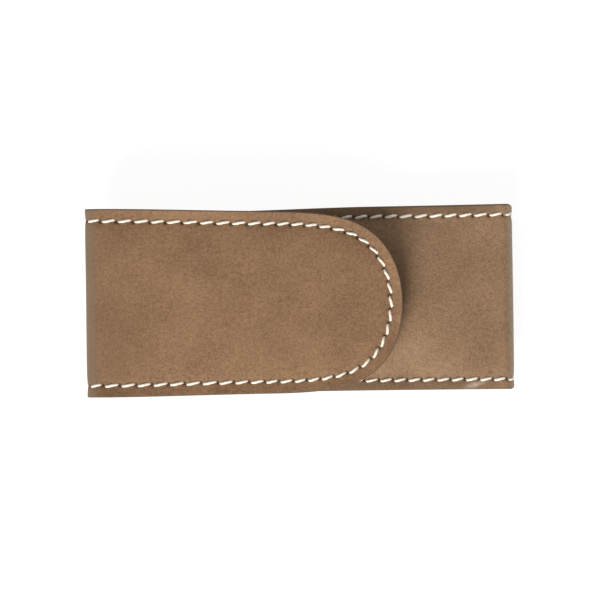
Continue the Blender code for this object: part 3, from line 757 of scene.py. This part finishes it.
def filleted(profile, radius, steps=4):
    """The same closed outline with its corners rounded. Points on the axis keep their corners."""
    done = []
    count = len(profile)
    for k, point in enumerate(profile):
        here = np.array(point)
        before, after = np.array(profile[k - 1]), np.array(profile[(k + 1) % count])
        if point[0] == 0:
            done.append(tuple(here))
            continue
        reach = min(radius, 0.45 * np.linalg.norm(before - here), 0.45 * np.linalg.norm(after - here))
        start = here + unit(before - here) * reach
        stop = here + unit(after - here) * reach
        for t in np.linspace(0, 1, steps):
            done.append(tuple(mix(mix(start, here, t), mix(here, stop, t), t)))
    return done


def turned(name, profile, centre, material):
    """A ring or disc turned about a vertical axis from a closed outline of (radius, height)."""
    outline = np.array(filleted(profile, TURNED_ROUND))
    turn = np.linspace(0, 2 * math.pi, TURNED_SIDES, endpoint=False)[:, None]
    points = np.stack([outline[:, 0] * np.cos(turn), outline[:, 0] * np.sin(turn),
                       outline[:, 1] + 0 * turn], -1) + np.array(centre)
    number = np.arange(points.shape[0] * points.shape[1]).reshape(points.shape[:2])
    after, up, both_next = (np.roll(number, shift, axis) for shift, axis in
                            ((-1, 0), (-1, 1), ((-1, -1), (0, 1))))
    faces = np.stack([number, after, both_next, up], -1).reshape(-1, 4)
    mesh = new_mesh(name, points, faces.tolist())
    give(mesh, "strip", np.stack(np.broadcast_arrays(outline[:, 0], points[..., Z], 0.0), -1))
    return finished(name, mesh, material, METAL_SHARP)


def snap_pieces():
    """Stud and eyelet on the pouch, socket, spring ring and cap on the flap."""
    stud_z = STUD_Z - STUD_BELOW
    low, high = (SNAP_X, SNAP_Y, stud_z), (SNAP_X, SNAP_Y, SOCKET_Z)
    seat, top = (SNAP_X, SNAP_Y, stud_z + STUD_FLANGE - LEATHER), (SNAP_X, SNAP_Y, FLAP_TOP - LEATHER)
    stud = [(0, 1.8), (1.9, 1.8), (2.5, 1.55), (2.6, 1.3), (2.3, 1.05), (2.2, 0.8), (3.4, 0.74), (3.7, 0.6),
            (4.4, 0.6), (4.7, 0.74), (5.2, 0.62), (5.2, 0.2), (1.85, 0.2), (1.85, 1.3), (0, 1.3)]
    eyelet = [(1.2, 0.1), (5.0, 0.1), (5.0, 0.45), (1.6, 0.55), (1.6, 2.35), (1.2, 2.35)]
    socket = [(3.3, 0), (4.6, 0), (4.8, 0.3), (4.8, 1.25), (5.4, 1.4), (5.4, 1.65), (2.1, 1.65), (2.1, 1.3),
              (3.3, 1.3), (3.6, 0.75), (3.6, 0.3)]
    cap = [(0, 0.6), (5.8, 0.6), (6.1, 0.4), (6.1, 0.1), (1.8, 0.1), (1.8, -1.45), (2.6, -1.5), (2.6, -1.65),
           (1.3, -1.65), (1.3, 0.2), (0, 0.2)]
    wire = [(RING_R + WIRE_R * math.cos(a), RING_Z + WIRE_R * math.sin(a))
            for a in np.linspace(0, 2 * math.pi, WIRE_SIDES, endpoint=False)]
    for name, profile, centre, replaced, body, plating in (
            ("snap_stud_turned", stud, low, "snap_stud", "case", NICKEL),
            ("snap_eyelet_turned", eyelet, seat, "snap_eyelet", "case", NICKEL),
            ("snap_socket_turned", socket, high, "snap_socket", "flap", NICKEL),
            ("snap_spring_turned", wire, high, "snap_ring_spring", "flap", SPRING),
            ("snap_cap_turned", cap, top, "snap_cap", "flap", NICKEL)):
        piece = turned(name, profile, centre, plating)
        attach(piece, body)
        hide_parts(replaced)


# Materials. A pair of colours is dark and pale.

FRESH_LEATHER = (0.141, 0.073, 0.034), (0.334, 0.191, 0.101)
FADED_LEATHER = (0.157, 0.089, 0.044), (0.364, 0.223, 0.127)
# Painted shade and sheen greying for the folds of the end wall; the belt loop's bends take the same colour.
# Painted shade for the front's borders and the flap beside the wall.
# Painted sheen for the closed end's fold.
PAINTED_SHADE, FOLD_WEAR_AND_SHADE, PAINTED_SHEEN = (0.11, 0.062, 0.034), (0.165, 0.122, 0.08), (0.46, 0.385, 0.29)
# Painted shade for the needle holes, which are only shallow dents.
# Painted shade for the seam's groove.
SEAM_GROOVE_SHADE, NEEDLE_HOLE_SHADE, SCRAPED = (0.15, 0.088, 0.052), (0.02, 0.013, 0.008), (0.62, 0.47, 0.37)
# The cut edge's own dark burnished colour, darkened further as painted shade for the thin shadow line along
# the edges.
CUT_EDGE_AND_SHADE = (0.075, 0.05, 0.031), (0.135, 0.092, 0.058)
FLESH_SIDE = (0.25, 0.16, 0.1), (0.36, 0.25, 0.17)
SUEDE_NAP, SUEDE_EDGE = ((0.016, 0.015, 0.016), (0.05, 0.047, 0.047)), (0.09, 0.08, 0.075)
CREAM, STAINED = ((0.8, 0.71, 0.57), (0.96, 0.91, 0.81)), (0.66, 0.53, 0.38)


def new_material(name):
    material = bpy.data.materials.new(name)
    material.use_nodes = True
    return material, material.node_tree, material.node_tree.nodes["Principled BSDF"]


def feed(tree, made, inputs):
    """Links or sets a node's inputs."""
    for key, value in inputs.items():
        if isinstance(value, bpy.types.NodeSocket):
            tree.links.new(value, made.inputs[key])
        else:
            made.inputs[key].default_value = value
    return made


def node(tree, kind, inputs, **settings):
    made = tree.nodes.new("ShaderNode" + kind)
    for key, value in settings.items():
        setattr(made, key, value)
    return feed(tree, made, inputs)


def mark(tree, name):
    return node(tree, "Attribute", {}, attribute_name=name).outputs["Fac"]


def place(tree, stretch=(1.0, 1.0, 1.0)):
    """The unrolled place on the strip, in millimetres, so that grain turns with the leather."""
    strip = node(tree, "Attribute", {}, attribute_name="strip").outputs["Vector"]
    return node(tree, "VectorMath", {0: strip, 1: stretch}, operation="MULTIPLY").outputs[0]


def noise(tree, vector, size, detail=3.0, rough=0.55):
    return node(tree, "TexNoise", {"Vector": vector, "Scale": 1 / size, "Detail": detail,
                                   "Roughness": rough}).outputs["Fac"]


def ranged(tree, value, low, high, to_low=0.0, to_high=1.0):
    return node(tree, "MapRange", {"Value": value, "From Min": low, "From Max": high, "To Min": to_low,
                                   "To Max": to_high}).outputs["Result"]


def maths(tree, operation, a, b):
    return node(tree, "Math", {0: a, 1: b}, operation=operation).outputs[0]


def tinted(tree, share, a, b):
    """From colour a to colour b as share goes from 0 to 1."""
    a = (*a, 1.0) if isinstance(a, tuple) else a
    b = (*b, 1.0) if isinstance(b, tuple) else b
    made = node(tree, "Mix", {0: share, 6: a, 7: b}, data_type="RGBA")
    return made.outputs[2]


def bump(tree, height, distance, strength, normal=None):
    inputs = {"Height": height, "Distance": distance * MM, "Strength": strength}
    if normal is not None:
        inputs["Normal"] = normal
    return node(tree, "Bump", inputs).outputs["Normal"]


def nubuck():
    material, tree, shader = new_material("nubuck_leather")
    spot = place(tree)
    cloud = noise(tree, spot, 16.0, 2.0)
    mottle = noise(tree, spot, 1.5, 4.0, 0.7)
    grain = noise(tree, spot, 0.62, 3.0, 0.7)
    nap = noise(tree, place(tree, (0.35, 1.0, 1.0)), 0.9, 3.0)
    tone = ranged(tree, cloud, 0.3, 0.7, -0.16, 0.16)
    for pattern, low, high in ((mottle, 0.3, 0.7), (grain, -0.36, 0.36), (nap, -0.06, 0.06)):
        tone = maths(tree, "ADD", tone, ranged(tree, pattern, 0.3, 0.7, low, high))
    colour = tinted(tree, mark(tree, "faded"), tinted(tree, tone, *FRESH_LEATHER),
                    tinted(tree, tone, *FADED_LEATHER))

    def patchy(under, name, full, least, most, over):
        """Lays a colour over another where a mark is, in patches."""
        share = maths(tree, "MULTIPLY", mark(tree, name), ranged(tree, mottle, 0.35, full, least, most))
        return tinted(tree, share, under, over)

    # painted shade on the front's borders and on the flap beside the wall
    colour = patchy(colour, "handled", 0.65, 0.4, 0.6, PAINTED_SHADE)
    # painted shade and sheen greying on the end wall's folds, the same colour on the belt loop's bends
    colour = patchy(colour, "fold", 0.7, 0.45, 0.85, FOLD_WEAR_AND_SHADE)
    # painted sheen on the closed end's fold
    colour = patchy(colour, "bleach", 0.7, 0.5, 0.95, PAINTED_SHEEN)
    # painted shade along the seam's pressed groove
    colour = tinted(tree, maths(tree, "MULTIPLY", mark(tree, "seam"), 0.28), colour, SEAM_GROOVE_SHADE)
    # painted shade in the needle holes
    colour = tinted(tree, mark(tree, "hole"), colour, NEEDLE_HOLE_SHADE)
    # the burnished cut edge, darkened further as painted shade for the shadow line along it
    fibre = noise(tree, place(tree, (0.5, 1.0, 5.0)), 0.8, 4.0, 0.7)
    cut = tinted(tree, ranged(tree, fibre, 0.3, 0.7), *CUT_EDGE_AND_SHADE)
    colour = tinted(tree, mark(tree, "edge"), colour, cut)
    colour = patchy(colour, "scuff", 0.6, 0.5, 1.0, SCRAPED)
    inside = tinted(tree, ranged(tree, nap, 0.3, 0.7), *FLESH_SIDE)
    colour = tinted(tree, mark(tree, "flesh"), colour, inside)
    rough = maths(tree, "SUBTRACT", ranged(tree, grain, 0.3, 0.7, 0.70, 0.86),
                  maths(tree, "MULTIPLY", mark(tree, "edge"), 0.05))
    pores = node(tree, "TexVoronoi", {"Vector": spot, "Scale": 1 / 0.38}).outputs["Distance"]
    normal = bump(tree, pores, 0.05, 0.35)
    normal = bump(tree, grain, 0.07, 0.6, normal)
    normal = bump(tree, mottle, 0.12, 0.3, normal)
    feed(tree, shader, {"Base Color": colour, "Roughness": rough, "Specular IOR Level": 0.28,
                        "Sheen Weight": 0.16, "Sheen Roughness": 0.45, "Sheen Tint": (0.85, 0.58, 0.36, 1.0),
                        "Normal": normal})
    return material


def suede():
    material, tree, shader = new_material("suede_lining")
    spot = place(tree)
    nap = noise(tree, spot, 0.5, 4.0, 0.7)
    brushed = noise(tree, place(tree, (0.3, 1.0, 1.0)), 4.0, 3.0)
    tone = maths(tree, "ADD", ranged(tree, nap, 0.3, 0.7, 0.0, 0.7),
                 ranged(tree, brushed, 0.35, 0.65, 0.0, 0.3))
    colour = tinted(tree, maths(tree, "MULTIPLY", mark(tree, "edge"), 0.5), tinted(tree, tone, *SUEDE_NAP),
                    SUEDE_EDGE)
    feed(tree, shader, {"Base Color": colour, "Roughness": ranged(tree, nap, 0.3, 0.7, 0.85, 1.0),
                        "Specular IOR Level": 0.15, "Sheen Weight": 0.35, "Sheen Roughness": 0.5,
                        "Sheen Tint": (0.6, 0.58, 0.58, 1.0), "Normal": bump(tree, nap, 0.12, 0.8)})
    return material


def waxed_thread():
    material, tree, shader = new_material("waxed_thread")
    strands = noise(tree, place(tree, (1.0, 0.35, 1.0)), 0.22, 2.0)
    stain = noise(tree, place(tree), 2.5, 3.0)
    colour = tinted(tree, ranged(tree, strands, 0.3, 0.7), *CREAM)
    colour = tinted(tree, ranged(tree, stain, 0.5, 0.8, 0.0, 0.35), colour, STAINED)
    feed(tree, shader, {"Base Color": colour, "Roughness": ranged(tree, strands, 0.3, 0.7, 0.45, 0.65),
                        "Specular IOR Level": 0.4, "Sheen Weight": 0.1,
                        "Normal": bump(tree, strands, 0.06, 0.5)})
    return material


def metal(name, colour, rough):
    material, tree, shader = new_material(name)
    turned_lines = noise(tree, place(tree, (1.0, 1.0, 0.1)), 0.08, 2.0)
    smudge = noise(tree, node(tree, "TexCoord", {}).outputs["Object"], 2 * MM, 3.0)
    feed(tree, shader, {"Base Color": tinted(tree, smudge, colour, tuple(0.82 * c for c in colour)),
                        "Metallic": 1.0, "Normal": bump(tree, turned_lines, 0.01, 0.3),
                        "Roughness": ranged(tree, smudge, 0.3, 0.7, rough - 0.06, rough + 0.1)})
    return material


NUBUCK, SUEDE, THREAD = nubuck(), suede(), waxed_thread()
NICKEL = metal("nickel", (0.66, 0.63, 0.58), 0.26)
SPRING = metal("spring_wire", (0.5, 0.5, 0.5), 0.32)


# The pieces


def build_leather():
    pouch = pouch_leather("pouch_leather", S_JOIN, S_MOUTH, open_end=True)
    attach(pouch, "case")
    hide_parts("back_panel", "end_fold", "front_panel")
    wall = pouch_leather("wall_leather", 0.0, S_JOIN)
    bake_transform(wall)
    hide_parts("flap_spine")
    flap = flap_leather("flap_leather_skin")
    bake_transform(flap)
    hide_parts("flap_leather")
    loop = belt_loop("belt_loop_strap")
    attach(loop, "case")
    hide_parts("belt_loop")


def build_linings():
    middle = (S_END + S_FRONT) / 2
    back = pouch_lining("back_lining_suede", S_JOIN, middle)
    front = pouch_lining("front_lining_suede", middle, S_MOUTH - MOUTH_TRIM, open_end=True)
    for piece, replaced in ((back, "back_lining"), (front, "front_lining")):
        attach(piece, "case")
        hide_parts(replaced)
    wall = pouch_lining("wall_lining_suede", 0.0, S_JOIN)
    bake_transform(wall)
    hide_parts("spine_lining")
    flap = flap_lining("flap_lining_suede")
    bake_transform(flap)
    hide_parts("flap_lining")


def build_stitches():
    pieces = []
    for word, side in (("upper", 1), ("lower", -1)):
        still = POUCH_HOLES[side][POUCH_HOLES[side] > S_JOIN][0]
        seam = pouch_stitches(word + "_seam_stitches", side, still, S_MOUTH)
        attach(seam, "case")
        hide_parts(word + "_seam_thread")
        wall = pouch_stitches(word + "_wall_stitches", side, -S_BACK, still)
        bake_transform(wall)
        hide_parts(word + "_spine_thread")
        pieces += [seam, wall]
    flap = flap_stitches("flap_seam_stitches")
    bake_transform(flap)
    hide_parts("flap_seam_thread")
    pieces.append(flap)
    for word, at_end in (("left", False), ("right", True)):
        seam = loop_stitches(word + "_loop_stitches", at_end)
        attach(seam, "case")
        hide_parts(word + "_loop_thread")
        pieces.append(seam)


build_leather()
build_linings()
build_stitches()
snap_pieces()


# Floor, light and camera

FLOOR_REACH, FLOOR_GREY, FLOOR_GLOW = 3000.0, 0.18, 0.9
# The key light's places and size are in metres, its power in watts
KEY_PLACE, KEY_AIM, KEY_SIZE, KEY_POWER = (-0.45, -1.08, 0.95), (0.0, 0.0, 0.012), 0.85, 28.0
WORLD_LIGHT = 0.42
LENS, SENSOR = 400.0, 36.0
VIEW_WIDTH, FRONT_Z = 182.4, 17.0  # how much the picture's width shows, at the height of the flap
ROLL = math.radians(-0.9)


def floor():
    reach = FLOOR_REACH
    corners = np.array([(-reach, -reach, 0), (reach, -reach, 0), (reach, reach, 0), (-reach, reach, 0)])
    mesh = new_mesh("floor", corners, [(0, 1, 2, 3)])
    material, tree, shader = new_material("floor")
    feed(tree, shader, {"Base Color": (FLOOR_GREY, FLOOR_GREY, FLOOR_GREY, 1.0), "Roughness": 0.8,
                        "Emission Color": (1.0, 1.0, 1.0, 1.0), "Emission Strength": FLOOR_GLOW})
    mesh.materials.append(material)
    into_scene("floor", mesh)


def studio():
    data = bpy.data.lights.new("key", "AREA")
    data.shape = "DISK"
    data.size = KEY_SIZE
    data.energy = KEY_POWER
    lamp = into_scene("key", data)
    lamp.location = KEY_PLACE
    lamp.rotation_euler = (Vector(KEY_AIM) - Vector(KEY_PLACE)).to_track_quat("-Z", "Y").to_euler()
    world = bpy.data.worlds.new("studio")
    world.use_nodes = True
    feed(world.node_tree, world.node_tree.nodes["Background"],
         {"Color": (1.0, 1.0, 1.0, 1.0), "Strength": WORLD_LIGHT})
    bpy.context.scene.world = world
    bpy.context.scene.view_settings.view_transform = "Standard"


def camera():
    data = bpy.data.cameras.new("camera")
    data.lens = LENS
    data.sensor_width = SENSOR
    view = into_scene("camera", data)
    view.location = (0.0, 0.0, (VIEW_WIDTH * LENS / SENSOR + FRONT_Z) * MM)
    view.rotation_euler = (0.0, 0.0, ROLL)
    bpy.context.scene.camera = view


floor()
studio()
camera()
